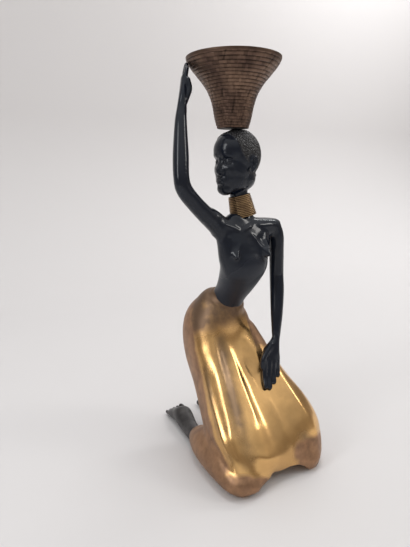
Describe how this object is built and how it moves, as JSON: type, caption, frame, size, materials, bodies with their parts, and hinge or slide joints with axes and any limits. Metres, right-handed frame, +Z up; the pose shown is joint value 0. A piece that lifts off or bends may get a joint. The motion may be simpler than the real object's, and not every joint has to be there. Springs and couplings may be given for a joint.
{
  "type": "bronze woman with basket",
  "caption": "Cast brass figure of a kneeling woman with stacked neck rings, one arm raised to steady a flared basket on her head.",
  "frame": {"origin": "centre of the bounding box, on the floor plane that the knees, shins and toes rest on", "axes": "+Z up, +X to the woman's left, -Y to her front, where her knees point"},
  "size_m": [0.2174, 0.283, 0.601],
  "materials": {
    "polished_brass": "golden polished brass with brown clouding, matte brown where it was never rubbed",
    "black_patina": "glossy near-black patina over smooth cast brass, pecked on the hair",
    "dark_feet": "dull grey-black patina",
    "ring_brass": "brown-gold brass, worn bright on the ribs and black between them",
    "basket_bronze": "brown patina worn to dull gold on the raised weave"
  },
  "bodies": {
    "root": {"skirt": "polished_brass", "upper_body": "black_patina", "foot_right": "dark_feet", "foot_left": "dark_feet", "neck_rings": "ring_brass", "basket": "basket_bronze"}
  },
  "joints": []
}
